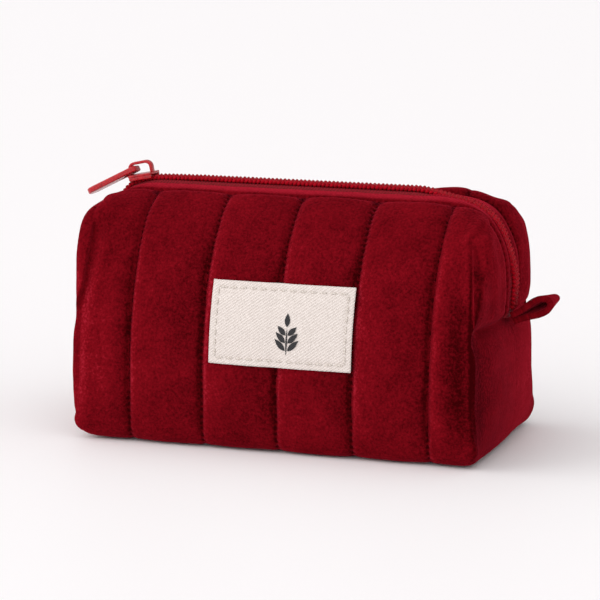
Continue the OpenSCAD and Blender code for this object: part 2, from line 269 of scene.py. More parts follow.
def corners_drawn_in(keys, points):
    """The x of each point with the corner seams drawn in from the full ends."""
    behind = seam_distance(keys, points)[0]
    x, y, z = points.T
    near_end = smoothstep(52, HALF_L - 2, np.abs(x))
    front, back, left = (np.interp(z, *zip(*pull)) for pull in (RIGHT_PULL, RIGHT_BACK_PULL, LEFT_PULL))
    right = np.where(y < 0, front, back) * band(behind, 12)
    left = left * band(behind, 3) - 1.8 * band(behind - 8, 7) * smoothstep(BODY_H, 74, z)
    return x - near_end * np.where(x > 0, right, -left)


def fill_out_shoulders(points, x):
    """Fills out the left shoulders and raises the back right one; x is each point's first place."""
    y, z = points[:, 1], points[:, 2]
    left_shoulder = band(x + 70, 14) * band(z - 79, 10) * smoothstep(10, 24, np.abs(y))
    points[:, 1] += np.sign(y) * 2.0 * left_shoulder
    points[:, 2] += 1.5 * left_shoulder
    points[:, 2] += 4.0 * band(x - 49, 20) * smoothstep(60, 84, z) * smoothstep(6, 15, y)


def point_normals(points, faces):
    a, b, c, d = (points[faces[:, i]] for i in range(4))
    face_n = np.cross(c - a, d - b)
    total = np.zeros_like(points)
    for i in range(4):
        np.add.at(total, faces[:, i], face_n)
    return total / np.maximum(np.linalg.norm(total, axis=1), 1e-9)[:, None]


# ---- quilting and folds


def channel_height(across):
    """0 on a stitched line or corner seam, 1 along a channel's middle; and the distance to the line."""
    inner = np.abs((across + CHANNEL / 2) % CHANNEL - CHANNEL / 2)
    outermost = across > 2 * CHANNEL
    half = np.where(outermost, (HALF_L - 2 * CHANNEL) / 2, CHANNEL / 2)
    t = np.where(outermost, np.minimum(across - 2 * CHANNEL, HALF_L - across), inner)
    return np.sin(t / half * math.pi / 2) ** 0.6, np.where(across < 2.5 * CHANNEL, inner, CHANNEL / 2)


def end_share(keys, outside):
    """1 on the end panels, fading to 0 over the shoulder and the bottom, and 0 on the front's face."""
    _, row, level = np.array(keys).T
    share = smoothstep(11, 0, HALF_L - np.abs(outside[:, 0]))
    on_front = (row == len(ROWS) - 1) & (level > 0) & (level < len(LEVELS) - 1)
    near_edge = smoothstep(33, 45, np.abs(outside[:, 2] - END_SEAM_Z))
    return np.where(on_front, share * near_edge, share)


def channels(points, outside, ends, lumps):
    """The stuffed channels between the stitched lines, with small creases beside the lines."""
    x, y, z = points[:, 0], np.abs(points[:, 1]), points[:, 2]
    height, from_line = channel_height(np.abs(outside[:, 0]))
    creases = field(points * (0.45, 1, 1), 6.5, 2)
    free = np.where(z > END_SEAM_Z, smoothstep(TOPSTITCH_Y - 0.2, TOPSTITCH_Y + 1.8, y), 1)
    deep = 0.45 + 0.55 * smoothstep(3, 16, z)  # the lines are shallower round the bottom edge
    deep *= 1 - 0.8 * smoothstep(36, 46, x) * smoothstep(60, 76, z) * (points[:, 1] > 0)
    stuffed = PUFF * (1 - deep + deep * height) * (1 + 0.25 * lumps)
    creased = (1 - ends) * 0.45 * creases * band(from_line - 2.5, 3.5)
    return free * (stuffed + creased - 0.7 * band(from_line, 0.9) * deep)


def full_ends(points, ends, lumps):
    """The ends puff out between their seams, more evenly on the left, with soft pleats above."""
    x, y, z = points[:, 0], np.abs(points[:, 1]), points[:, 2]
    right_end = smoothstep(-10, 10, x)
    rise = 1 - right_end * smoothstep(9, 0, np.abs(z - END_SEAM_Z))
    above = (2.9 - 0.7 * right_end) * smoothstep(TOPSTITCH_Y, TOPSTITCH_Y + 8, y)
    below = (2.9 - 1.1 * right_end) * smoothstep(0, 14, z)
    pleats = np.cos((y - 14) / 8.5 * 2 * math.pi + 0.6 * lumps)
    pleats *= smoothstep(46, 54, z) * smoothstep(82, 70, z) * smoothstep(12, 16, y)
    folds = field(points * (1, 0.6, 1), 11, 5)
    return ends * (rise * np.where(z > END_SEAM_Z, above, below) + 0.2 * pleats + 0.5 * folds)


def end_seams(keys, points, ends):
    """The seam across each end, and the fabric's rolled edge above it on the right."""
    above = points[:, 2] - END_SEAM_Z
    right_end = smoothstep(-10, 10, points[:, 0])
    off_corner = smoothstep(0, 9, seam_distance(keys, points)[0])
    valley = off_corner * (0.3 + 1.6 * right_end) * band(above, 1.6)
    return ends * (right_end * 0.7 * band(above - 3.2, 2.2) - valley)


def zipper_rim(points):
    """The raised rim between the zipper and its topstitching, and the groove of the stitches."""
    y, z = np.abs(points[:, 1]), points[:, 2]
    rim = smoothstep(RIM_Y - 0.5, RIM_Y + 1.5, y) * smoothstep(TOPSTITCH_Y, TOPSTITCH_Y - 1.5, y)
    return (z > END_SEAM_Z) * 0.35 * (rim - band(y - TOPSTITCH_Y, 0.6))


def quilted(keys, points, outside):
    """How far each point of the plain form moves along its normal."""
    ends = end_share(keys, outside)
    lumps = field(points, 26, 1)
    moves = [channels(points, outside, ends, lumps), full_ends(points, ends, lumps),
             end_seams(keys, points, ends), zipper_rim(points), 0.25 * field(points, 9, 3)]
    return sum(moves) - SHELL_IN


def corner_seams(keys, points):
    """The vertical seams where the front meets the ends, with a deep tuck at the top of the right one."""
    behind, beside, on_front = seam_distance(keys, points)
    x, z = points[:, 0], points[:, 2]
    from_seam = np.where(on_front, beside, behind)
    near = (from_seam < 20) & (np.abs(x) > 50) & (z < BODY_H - 4)
    window = smoothstep(SEAM_LOW_Z - 4, SEAM_LOW_Z + 2, z) * smoothstep(SEAM_TOP_Z + 1, SEAM_TOP_Z - 4, z)
    ridge = 0.9 * band(from_seam - 0.8, 1.8)
    depth = np.where(x > 0, 0.4 + 3.0 * band(z - 68, 8), 0.7 * smoothstep(78, 60, z))
    recess = -depth * (1 - band(from_seam, 0.7)) * np.exp(-from_seam / 3.2)
    return np.where(near, np.where(on_front, ridge, recess) * window, 0)


def rest_on_floor(points):
    """Flattens what would sink under the floor, and keeps the stitched lines off it."""
    low, sunk, clear = 2.2, 0.5, 0.03
    z = points[:, 2]
    flattened = np.where(z < low, low * np.exp(np.clip((z - low) / low, -8, 0)), z)
    points[:, 2] = np.maximum(flattened - sunk, clear)


def plain_surface(side, first_row=SLOT_ROW):
    """Grid keys, faces, points, normals and ray targets of one half before it is quilted."""
    keys, faces = half_grid(first_row)
    inside, outside = ends_of_rays(keys, side)
    plain = shell_points(inside, outside)
    x = plain[:, 0].copy()
    plain[:, 0] = corners_drawn_in(keys, plain)
    fill_out_shoulders(plain, x)
    if side > 0:
        faces = faces[:, ::-1]
    normals = point_normals(plain, faces)
    normals[np.abs(plain[:, 1]) < 1e-6, 1] = 0
    normals /= np.linalg.norm(normals, axis=1)[:, None]
    return keys, faces, plain, normals, outside


def indices(keys, path):
    """Where each key of the path stands in keys."""
    index = {k: i for i, k in enumerate(keys)}
    return [index[k] for k in path]


def along_zip(keys, row):
    """Indices of the points of one row beside the zipper, from one end seam to the other."""
    last_c, last_l = len(COLUMNS) - 1, len(LEVELS) - 1
    path = [(0, row, v) for v in range(SEAM_LEVEL, last_l)]
    path += [(c, row, last_l) for c in range(last_c + 1)]
    path += [(last_c, row, v) for v in range(last_l - 1, SEAM_LEVEL - 1, -1)]
    return indices(keys, path)


def slot_edge(keys):
    """Indices of the points round the open edge: beside the zipper and along the end seams."""
    left, right = (indices(keys, [(column, row, SEAM_LEVEL) for row in range(SLOT_ROW)])
                   for column in (0, len(COLUMNS) - 1))
    return left + along_zip(keys, SLOT_ROW) + right[::-1]


def turned_under(points, faces, normals, edge, side):
    """Rolls the edge in along the zipper, so the velvet shows a folded rim."""
    n, at = normals[edge], points[edge]
    out = np.where(np.abs(at[:, 1]) > RIM_Y - 0.5, 1.0, 0.0)[:, None] * (0, side, 0)
    rows = [at - n * 0.5 - out * 0.35, at - n * 1.1 - out * 0.35, at - n * 1.6 + out * 0.4,
            at - n * 1.7 + out * 1.8]
    faces = [tuple(f) for f in faces]
    last = list(edge)
    for k in range(len(rows)):
        new = list(range(len(points) + k * len(edge), len(points) + (k + 1) * len(edge)))
        for i in range(len(edge) - 1):
            quad = (last[i], last[i + 1], new[i + 1], new[i])
            faces.append(quad if side > 0 else quad[::-1])
        last = new
    return np.concatenate([points] + rows), faces


def length_along(line, flat):
    """For each 2D point, how far along the line its nearest place lies."""
    run = np.concatenate([[0], np.cumsum(np.linalg.norm(np.diff(line, axis=0), axis=1))])
    s = np.arange(0, run[-1], 0.25)
    dense = np.stack([np.interp(s, run, line[:, i]) for i in (0, 1)], axis=1)
    found = [s[np.argmin(((dense - p) ** 2).sum(axis=1))] for p in flat]
    return np.array(found)


def painted_side_light(points, normals):
    """Painted light and shade for the velvet: lighter where the surface faces left, towards the key light,
    darker where it faces right, with painted gradients on the end walls and the right panel.
    """
    x, y, z = points[:, 0], np.abs(points[:, 1]), points[:, 2]
    walls = smoothstep(30, 36, y)
    painted_light = -normals[:, 0] * smoothstep(0.8, 0.45, np.abs(normals[:, 0]))
    painted_light *= (1 - 0.75 * smoothstep(60, 76, z)) * (1 - 0.5 * smoothstep(-52, -56, x))
    painted_light += walls * (0.22 * smoothstep(-54, -64, x) - 0.3 * smoothstep(52, 62, x) * smoothstep(72, 55, z))
    painted_light *= 0.45 + 0.55 * smoothstep(4, 24, z)
    right_panel = smoothstep(0.6, 0.85, normals[:, 0]) * smoothstep(58, 46, z)
    return painted_light + right_panel * (0.5 * smoothstep(-38, 20, points[:, 1]) - 0.24)


def stitch_guides(points, normals):
    """For the velvet: the band by the zipper, the nearest row of stitches and the painted light and shade on
    its flanks.
    """
    x, y, z = points[:, 0], np.abs(points[:, 1]), points[:, 2]
    upper = z > END_SEAM_Z
    across_x = np.minimum(np.abs((x + CHANNEL / 2) % CHANNEL - CHANNEL / 2), 13)
    quilted_here = (np.abs(x) < 2.5 * CHANNEL - 1) & ((y > TOPSTITCH_Y) | ~upper)
    quilted_here &= np.abs(normals[:, 0]) < 0.7
    across_x = np.where(quilted_here, across_x, 13)
    across_y = np.where(upper, np.abs(y - TOPSTITCH_Y), 13)
    section_run = length_along(SECTION[:len(SECTION) // 2], np.stack([y, z], axis=1))
    zip_run = length_along(OUTLINE, np.stack([x, z], axis=1))
    nearer = across_y < across_x
    return {"rim": smoothstep(TOPSTITCH_Y - 1.2, TOPSTITCH_Y - 2.6, y) * smoothstep(78, 84, z),
            "from_stitch": np.where(nearer, across_y, across_x),
            "along_stitch": np.where(nearer, zip_run, section_run),
            "painted_light": painted_side_light(points, normals)}


# ---- making meshes


def make_mesh(name, points, faces, material, guides=None):
    data = bpy.data.meshes.new(name)
    data.from_pydata((np.asarray(points) * MM).tolist(), [], [list(map(int, f)) for f in faces])
    data.validate()
    # the patterns follow the rest shape, so they stay put when the piece bends
    place = data.attributes.new("rest_mm", "FLOAT_VECTOR", "POINT")
    place.data.foreach_set("vector", np.asarray(points, np.float32).ravel())
    for key, values in (guides or {}).items():
        data.attributes.new(key, "FLOAT", "POINT").data.foreach_set("value", values.astype(np.float32))
    data.polygons.foreach_set("use_smooth", [True] * len(data.polygons))
    data.materials.append(material)
    piece = bpy.data.objects.new(name, data)
    bpy.context.scene.collection.objects.link(piece)
    return piece


def modifier(piece, kind, **settings):
    added = piece.modifiers.new(kind.title(), kind)
    for key, value in settings.items():
        setattr(added, key, value)


def bevel(piece, width, segments):
    modifier(piece, "BEVEL", width=width * MM, segments=segments, limit_method="ANGLE",
             angle_limit=math.radians(35))


def on_mouth(piece):
    """Fabric of one half of the pouch, with its placement baked into the mesh."""
    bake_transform(piece)


def grid_faces(rows, columns, closed=False):
    """Quads over a rows x columns grid of points, joined round the columns if closed."""
    faces = []
    for i in range(rows - 1):
        for j in range(columns if closed else columns - 1):
            k = (j + 1) % columns
            faces.append((i * columns + j, i * columns + k, (i + 1) * columns + k, (i + 1) * columns + j))
    return faces


def tube(path, radius, sides=6, across=(0, 1, 0), stretch=1.0):
    """Points and faces of a rod along a path, with closed ends; stretch widens it in the direction across."""
    path = np.asarray(path, float)
    along = np.gradient(path, axis=0)
    along /= np.linalg.norm(along, axis=1)[:, None]
    side = np.asarray(across, float) - along * (along * across).sum(axis=1)[:, None]
    side /= np.maximum(np.linalg.norm(side, axis=1), 1e-6)[:, None]
    over = np.cross(side, along)
    turn = np.arange(sides) / sides * 2 * math.pi
    cos_t, sin_t = np.cos(turn)[None, :, None], np.sin(turn)[None, :, None]
    ring = stretch * cos_t * side[:, None] + sin_t * over[:, None]
    points = (path[:, None] + ring * radius).reshape(-1, 3)
    faces = grid_faces(len(path), sides, closed=True)
    faces += [tuple(range(sides))[::-1], tuple(range(len(points) - sides, len(points)))]
    return points, faces


def gather(parts):
    """Joins several (points, faces) into one."""
    points, faces, count = [], [], 0
    for p, f in parts:
        points.append(np.asarray(p))
        faces += [tuple(i + count for i in face) for face in f]
        count += len(p)
    return np.concatenate(points), faces


# ---- materials


class Nodes:
    """A short way to write a node material."""

    def __init__(self, name):
        self.material = bpy.data.materials.new(name)
        self.material.use_nodes = True
        self.tree = self.material.node_tree
        self.shader = self.tree.nodes["Principled BSDF"]

    def feed(self, socket, value):
        if isinstance(value, bpy.types.NodeSocket):
            self.tree.links.new(value, socket)
        else:
            socket.default_value = value

    def add(self, kind, inputs=(), **settings):
        node = self.tree.nodes.new("ShaderNode" + kind)
        for key, value in settings.items():
            setattr(node, key, value)
        for key, value in dict(inputs).items():
            self.feed(node.inputs[key], value)
        return node

    def place(self):
        return self.add("Attribute", attribute_name="rest_mm").outputs["Vector"]

    def value(self, name):
        return self.add("Attribute", attribute_name=name).outputs["Fac"]

    def noise(self, where, scale, detail=2.0, rough=0.5):
        return self.add("TexNoise", {"Vector": where, "Scale": scale, "Detail": detail,
                                     "Roughness": rough}).outputs["Fac"]

    def math(self, kind, a, b=0.0, c=0.0):
        return self.add("Math", {0: a, 1: b, 2: c}, operation=kind).outputs[0]

    def ramp(self, value, *stops):
        node = self.add("ValToRGB", {"Fac": value})
        while len(node.color_ramp.elements) < len(stops):
            node.color_ramp.elements.new(0.5)
        for element, (place, colour) in zip(node.color_ramp.elements, stops):
            element.position = place
            element.color = (*colour, 1)
        return node.outputs["Color"]

    def bell(self, distance, rate):
        """1 where the distance is 0, falling away from it."""
        return self.math("EXPONENT", self.math("MULTIPLY", self.math("POWER", distance, 2.0), -rate))

    def mix(self, share, a, b):
        return self.add("MixRGB", {"Fac": share, "Color1": a, "Color2": b}).outputs["Color"]

    def bump(self, height, distance, strength=1.0, over=None):
        inputs = {"Height": height, "Distance": distance, "Strength": strength}
        if over is not None:
            inputs["Normal"] = over
        return self.add("Bump", inputs).outputs["Normal"]

    def finish(self, **inputs):
        for key, value in inputs.items():
            self.feed(self.shader.inputs[key.replace("_", " ")], value)
        return self.material


def herringbone_with_highlight(n, where):
    """The flattened band beside the zipper: fine ribs that slant away from the coil, with a painted highlight
    that makes it brighter than the velvet.
    """
    split = n.add("SeparateXYZ", {"Vector": where})
    slant = n.math("MULTIPLY_ADD", n.math("ABSOLUTE", split.outputs["Y"]), 0.8, split.outputs["X"])
    ribs = n.math("SINE", n.math("MULTIPLY", slant, 2 * math.pi / RIB_PITCH))
    shade = n.math("MULTIPLY_ADD", ribs, 0.2, n.noise(where, 1.3, 3.0, 0.8))
    return n.ramp(shade, (0.2, (0.2, 0.004, 0.01)), (0.85, (0.66, 0.026, 0.055)))


def stitch_dashes(n, rate):
    """Dashes along the nearest row of stitches; the higher the rate, the narrower."""
    dash = n.math("SINE", n.math("MULTIPLY", n.value("along_stitch"), 2 * math.pi / STITCH_PITCH))
    dash = n.math("MULTIPLY_ADD", dash, 0.35, 0.65)
    return n.math("MULTIPLY", n.bell(n.value("from_stitch"), rate), dash)


def velvet(name, deep, lit, fuzz_highlight, sheen, stitched):
    """Short pile: mottled where the nap lies different ways, bright at grazing angles; when stitched, with
    painted light and shade on the flanks, painted shade in the stitch dents and a painted highlight on the
    band by the zipper.
    """
    n = Nodes(name)
    where = n.place()
    nap = n.noise(where, 0.05, 3.0, 0.6)
    patches = n.noise(where, 0.2, 4.0, 0.65)
    tufts = n.noise(where, 1.1, 2.0, 0.6)
    fibres = n.noise(where, 2.4, 3.0, 0.75)
    pile = n.math("MULTIPLY_ADD", tufts, 0.6, n.math("MULTIPLY", fibres, 0.4))
    tone = n.math("MULTIPLY_ADD", nap, 0.4, n.math("MULTIPLY_ADD", patches, 0.25, 0.125))
    tone = n.math("ADD", tone, n.math("MULTIPLY_ADD", pile, 1.4, -0.65))
    if stitched:
        # painted light and shade: lighter on left-facing flanks, darker on right-facing ones
        tone = n.math("MULTIPLY_ADD", n.value("painted_light"), 0.75, tone)
        # painted shade in the stitch dents, where the parted pile shows dark
        tone = n.math("MULTIPLY_ADD", stitch_dashes(n, 3.0), -0.5, tone)
    # from deep through lit to the painted highlight
    colour = n.ramp(tone, (0.12, deep), (0.74, lit), (1.0, fuzz_highlight))
    relief = n.bump(pile, 0.5 * MM, 1.0)
    if stitched:
        # the band by the zipper: ribs with a painted highlight, mixed over the velvet
        colour = n.mix(n.math("MULTIPLY", n.value("rim"), 0.6), colour, herringbone_with_highlight(n, where))
        relief = n.bump(n.math("MULTIPLY", stitch_dashes(n, 0.8), -1.0), 0.55 * MM, 1.0, relief)
    return n.finish(Base_Color=colour, Roughness=1.0, Specular_IOR_Level=0.0, Normal=relief,
                    Sheen_Weight=sheen, Sheen_Roughness=0.35, Sheen_Tint=(1.0, 0.05, 0.10, 1))


def woven(name, colour, dark, pitch, slant, rough=0.8, sheen=0.15):
    """Twill or plain cloth: fine ribs across the surface, at a slant."""
    n = Nodes(name)
    where = n.place()
    turn = n.add("Mapping", {"Vector": where, "Rotation": (0, slant, 0)}).outputs["Vector"]
    split = n.add("SeparateXYZ", {"Vector": turn})
    ribs = n.math("SINE", n.math("MULTIPLY", split.outputs["Z"], 2 * math.pi / pitch))
    cross = n.math("SINE", n.math("MULTIPLY", split.outputs["X"], 2 * math.pi / (pitch * 0.7)))
    height = n.math("MULTIPLY_ADD", ribs, 0.5, n.math("MULTIPLY", cross, 0.22))
    grain = n.noise(where, 1.5, 3.0, 0.7)
    shade = n.math("MULTIPLY_ADD", height, 0.34, grain)
    tone = n.ramp(shade, (0.25, dark), (0.72, colour))
    return n.finish(Base_Color=tone, Roughness=rough, Sheen_Weight=sheen, Specular_IOR_Level=0.2,
                    Sheen_Tint=(*colour, 1), Normal=n.bump(n.math("ADD", height, grain), 0.13 * MM, 0.9))


def nylon(name, colour, dark):
    n = Nodes(name)
    where = n.place()
    grain = n.noise(where, 0.8, 2.0)
    relief = n.bump(n.noise(where, 3.0, 2.0), 0.03 * MM, 0.6)
    return n.finish(Base_Color=n.ramp(grain, (0.3, dark), (0.7, colour)), Roughness=0.45,
                    Specular_IOR_Level=0.06, Specular_Tint=(1.0, 0.25, 0.3, 1), Normal=relief)


def thread(name, colour, dark):
    n = Nodes(name)
    where = n.place()
    wave = n.add("TexWave", {"Vector": where, "Scale": 0.55, "Distortion": 0.6}, bands_direction="DIAGONAL")
    twist = wave.outputs["Fac"]
    shade = n.math("MULTIPLY_ADD", n.noise(where, 2.0, 2.0), 0.6, n.math("MULTIPLY", twist, 0.4))
    return n.finish(Base_Color=n.ramp(shade, (0.3, dark), (0.75, colour)), Roughness=0.8,
                    Sheen_Weight=0.15, Sheen_Tint=(*colour, 1), Specular_IOR_Level=0.1,
                    Normal=n.bump(twist, 0.06 * MM, 0.8))


def enamel(name, colour, dark):
    """Thick glossy paint over cast metal, thinner and darker in places, with a faint orange peel."""
    n = Nodes(name)
    where = n.place()
    cast = n.noise(where, 0.5, 3.0)
    wear = n.noise(where, 1.3, 4.0, 0.7)
    rough = n.math("MULTIPLY_ADD", wear, 0.3, 0.12)
    relief = n.bump(n.math("ADD", cast, wear), 0.16 * MM, 0.8)
    return n.finish(Base_Color=n.ramp(wear, (0.35, dark), (0.62, colour)), Roughness=rough, Metallic=0.0,
                    Specular_IOR_Level=0.4, Specular_Tint=(1.0, 0.4, 0.42, 1), Coat_Weight=0.5,
                    Coat_Roughness=0.12, Coat_Tint=(1.0, 0.7, 0.7, 1), Normal=relief)


def plain_floor(name):
    n = Nodes(name)
    return n.finish(Base_Color=(0.955, 0.945, 0.95, 1), Roughness=0.55, Specular_IOR_Level=0.2)


# The velvet's brightest colour: pale fuzz specks and painted highlight on the flanks facing the key light.
FUZZ_HIGHLIGHT = (0.35, 0.014, 0.028)
VELVET = velvet("velvet", (0.036, 0.0006, 0.0014), (0.20, 0.0036, 0.0085), FUZZ_HIGHLIGHT, 0.36, stitched=True)
RIBBON = velvet("ribbon_velvet", (0.05, 0.0006, 0.0016), (0.22, 0.0036, 0.009), FUZZ_HIGHLIGHT, 0.36, stitched=False)
LINING = woven("lining_cloth", (0.26, 0.012, 0.022), (0.16, 0.006, 0.012), 0.5, 0.8, rough=0.55, sheen=0.3)
TAPE = woven("zipper_tape_cloth", (0.24, 0.004, 0.012), (0.11, 0.002, 0.005), 0.9, 0.9)
COIL = nylon("zipper_coil_nylon", (0.42, 0.004, 0.014), (0.22, 0.002, 0.006))
COIL_THREAD = thread("zipper_thread", (0.42, 0.018, 0.03), (0.24, 0.006, 0.011))
LABEL = woven("label_twill", (0.80, 0.735, 0.69), (0.60, 0.535, 0.49), 0.85, 0.62, rough=0.9, sheen=0.1)
LABEL_THREAD = thread("label_thread", (0.77, 0.71, 0.65), (0.54, 0.49, 0.44))
PRINT = woven("label_print", (0.045, 0.045, 0.047), (0.03, 0.03, 0.032), 0.62, 0.62, rough=0.9, sheen=0.0)
ENAMEL = enamel("slider_enamel", (0.50, 0.004, 0.012), (0.26, 0.002, 0.006))


# ---- fabric pieces


def build_shell(side, word):
    """One half of the quilted velvet, padded with wadding."""
    keys, faces, plain, normals, outside = plain_surface(side)
    points = plain + normals * (quilted(keys, plain, outside) + corner_seams(keys, plain))[:, None]
    rest_on_floor(points)
    points, faces = turned_under(points, faces, normals, slot_edge(keys), side)
    final = point_normals(points, np.array([f for f in faces if len(f) == 4]))
    piece = make_mesh(word + "_quilted_shell", points, faces, VELVET, stitch_guides(points, final))
    on_mouth(piece)
    modifier(piece, "SUBSURF", levels=1, render_levels=1)
    modifier(piece, "SOLIDIFY", thickness=0.8 * MM, offset=-1)
    return piece


def build_lining(side, word):
    """The inner pouch, loose and a little rumpled, open along the zipper."""
    depth, opening = 4.6, 6.2
    _, faces, plain, normals, _ = plain_surface(side)
    rumple = 0.5 * field(plain, 13, 8) + 0.25 * field(plain, 5, 9)
    points = plain + normals * (rumple - depth)[:, None]
    middle = points[faces].mean(axis=1)
    keep = (middle[:, 2] < END_SEAM_Z) | (np.abs(middle[:, 1]) > opening)
    piece = make_mesh(word + "_lining_cloth", points, faces[keep], LINING)
    on_mouth(piece)
    return piece


def zip_path(low_z, step):
    """Evenly spaced (x, z) along the top outline, from the left end seam to the right one, with normals."""
    line = OUTLINE[::-1]
    top = line[line[:, 1] > 30]
    fine = np.linspace(0, 1, 4000) * (len(top) - 1)
    dense = np.stack([np.interp(fine, np.arange(len(top)), top[:, i]) for i in (0, 1)], axis=1)
    dense = dense[dense[:, 1] > low_z]
    length = np.concatenate([[0], np.cumsum(np.linalg.norm(np.diff(dense, axis=0), axis=1))])
    s = np.arange(0, length[-1], step)
    path = np.stack([np.interp(s, length, dense[:, i]) for i in (0, 1)], axis=1)
    along = np.gradient(path, axis=0)
    along /= np.linalg.norm(along, axis=1)[:, None]
    window = max(3, int(3 / step) | 1)  # the normals are smoothed over about 3 mm
    pad = np.pad(along, ((window // 2, window // 2), (0, 0)), "edge")
    along = np.stack([np.convolve(pad[:, i], np.ones(window) / window, "valid") for i in (0, 1)], axis=1)
    out = np.stack([-along[:, 1], along[:, 0]], axis=1)
    return path, out / np.linalg.norm(out, axis=1)[:, None], s


def zip_sink(x, z):
    """How much deeper the zipper lies between the velvet's edges where it turns down at the right."""
    return 1.9 * smoothstep(38, 54, x) * smoothstep(58, 74, z)


def beside_zip(path, out, depth, y):
    """Points at a depth under the outline, at y across the zipper."""
    at = path - out * (np.asarray(depth) + zip_sink(*path.T)).reshape(-1, 1)
    return np.stack([at[:, 0], np.broadcast_to(y, len(at)), at[:, 1]], axis=1)


def build_tape(side, word):
    """The woven tape: under the coil at the middle, then tucked under the velvet."""
    keys, _, plain, normals, _ = plain_surface(side, first_row=0)
    rows = []
    for row in range([a for a, _ in ROWS].index(FAN_Y) + 1):
        path = along_zip(keys, row)
        depth = 1.15 + 1.85 * smoothstep(RIM_Y - 0.6, RIM_Y + 1.5, ROWS[row][0])
        sink = zip_sink(plain[path, 0], plain[path, 2]) * smoothstep(TOPSTITCH_Y, RIM_Y - 1, ROWS[row][0])
        at = plain[path] - normals[path] * (depth + sink)[:, None]
        at[:, 1] += 0.15 * side * (row == 0)
        rows.append(at)
    faces = grid_faces(len(rows), len(rows[0]))
    faces = [f if side < 0 else f[::-1] for f in faces]
    piece = make_mesh(word + "_zipper_tape", np.concatenate(rows), faces, TAPE)
    on_mouth(piece)
    modifier(piece, "SOLIDIFY", thickness=0.4 * MM, offset=0)
    return piece


COIL_Y, COIL_RADIUS_Y, COIL_RADIUS_N, COIL_WIRE = 1.2, 1.05, 0.46, 0.42
COIL_DEPTH = 0.35  # of the spiral's middle under the outline
COIL_LOW_Z = END_SEAM_Z + 3


def coil_turn(s, side):
    """The spiral's angle along the zipper; the back one is half a turn ahead, so the two interlock."""
    return 2 * math.pi * (s / COIL_PITCH + (0.5 if side > 0 else 0))


def build_coil(side, word):
    """One spiral of the zipper."""
    per_turn = 14
    path, out, s = zip_path(COIL_LOW_Z, COIL_PITCH / per_turn)
    turn = coil_turn(s, side)
    y = side * (COIL_Y + COIL_RADIUS_Y * np.cos(turn))
    points = beside_zip(path, out, COIL_DEPTH - COIL_RADIUS_N * np.sin(turn), y)
    ahead = np.stack([out[:, 1], np.zeros(len(out)), -out[:, 0]], axis=1)
    piece = make_mesh(word + "_zipper_coil", *tube(points, COIL_WIRE, 8, ahead, stretch=1.5), COIL)
    on_mouth(piece)
    return piece


def build_coil_thread(side, word):
    """The cord inside the spiral, and the stitching that holds both to the tape between the turns."""
    path, out, s = zip_path(COIL_LOW_Z, COIL_PITCH / 8)
    turn = coil_turn(s, side)
    strands = [tube(beside_zip(path[::4], out[::4], COIL_DEPTH, side * COIL_Y), 0.4, 8, stretch=2.4)]
    for y, phase in ((1.35, 0), (1.85, 0.5)):
        rise = -0.62 + 0.25 * (1 - np.sin(turn + phase))
        wave = side * (y + 0.12 * np.sin(turn / 2 + phase))
        strands.append(tube(beside_zip(path, out, rise, wave), 0.17, 5))
    piece = make_mesh(word + "_coil_stitching", *gather(strands), COIL_THREAD)
    on_mouth(piece)
    return piece


# ---- slider and pull


def at_slider():
    """From the slider's own frame, height 0 at the middle of the coil, to the pouch's, in metres."""
    return Matrix.Translation(Vector(SLIDER_AT) * MM) @ Matrix.Rotation(-SLIDER_TILT, 4, "Y")


def rounded_prism(outline, low, high):
    """A flat plate between two heights, from its outline."""
    n = len(outline)
    points = [(x, y, low) for x, y in outline] + [(x, y, high) for x, y in outline]
    faces = [tuple(range(n))[::-1], tuple(range(n, 2 * n))]
    faces += [(i, (i + 1) % n, n + (i + 1) % n, n + i) for i in range(n)]
    return np.array(points, float), faces


def arc(cx, cy, rx, ry, start, stop, steps=6):
    return [(cx + rx * math.cos(math.radians(a)), cy + ry * math.sin(math.radians(a)))
            for a in np.linspace(start, stop, steps + 1)]


def slider_piece(name, parts, edge):
    """Joins cast parts into one piece with rounded edges that rides the slider."""
    piece = make_mesh(name, *gather(parts), ENAMEL)
    bevel(piece, edge, 3)
    piece.matrix_world = at_slider()
    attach(piece, "slider")
    return piece


def slider_plate():
    return (arc(-2.2, 0, 3.0, 4.5, 90, 270, 10) + arc(4.2, -3.3, 1.0, 0.9, -90, 0, 4)
            + arc(4.2, 3.3, 1.0, 0.9, 0, 90, 4))


UPPER_PLATE, LOWER_PLATE, FLANGE = (1.3, 2.1), (-4.0, -3.2), (0.1, 1.4)  # from height to height


def build_slider():
    flange = [(-4.2, 3.1), (4.9, 3.1), (4.9, 4.25), (-2.0, 4.42), (-3.6, 4.0)]
    neck = arc(-4.35, 0, 0.8, 0.9, 0, 360, 11)[:-1]
    parts = [rounded_prism(slider_plate(), *UPPER_PLATE), rounded_prism(slider_plate(), *LOWER_PLATE),
             rounded_prism(flange, *FLANGE), rounded_prism([(x, -y) for x, y in flange][::-1], *FLANGE),
             rounded_prism(neck, -3.3, 1.4)]
    return slider_piece("slider_casting", parts, 0.28)


def build_bail():
    """The strap over the slider that holds the pull: a bent flat band."""
    path = [(4.1, 2.0)] + arc(2.1, 4.2, 2.0, 1.9, 0, 90) + arc(-2.1, 4.1, 2.0, 1.9, 90, 180) + [(-4.1, 2.0)]
    middle = np.array([(x, 0, z) for x, z in path])
    along = np.gradient(middle, axis=0)
    along /= np.linalg.norm(along, axis=1)[:, None]
    out = np.cross(along, (0, 1, 0))
    half_w, half_t = 1.2, 0.5
    ring = [(-half_w, -half_t), (half_w, -half_t), (half_w, half_t), (-half_w, half_t)]
    points = np.concatenate([[m + n * v + (0, u, 0) for u, v in ring] for m, n in zip(middle, out)])
    faces = grid_faces(len(middle), 4, closed=True)
    faces += [(0, 1, 2, 3)[::-1], tuple(range(len(points) - 4, len(points)))]
    return slider_piece("slider_strap", [(points, faces)], 0.3)


PULL_L, PULL_W, PULL_T, PULL_DROP = 20.5, 6.0, 2.0, math.radians(16)
PULL_ROLL = math.radians(6)  # the loose tab lies a little turned towards the front
PULL_AT = (-2.0, 0.0, 4.05)


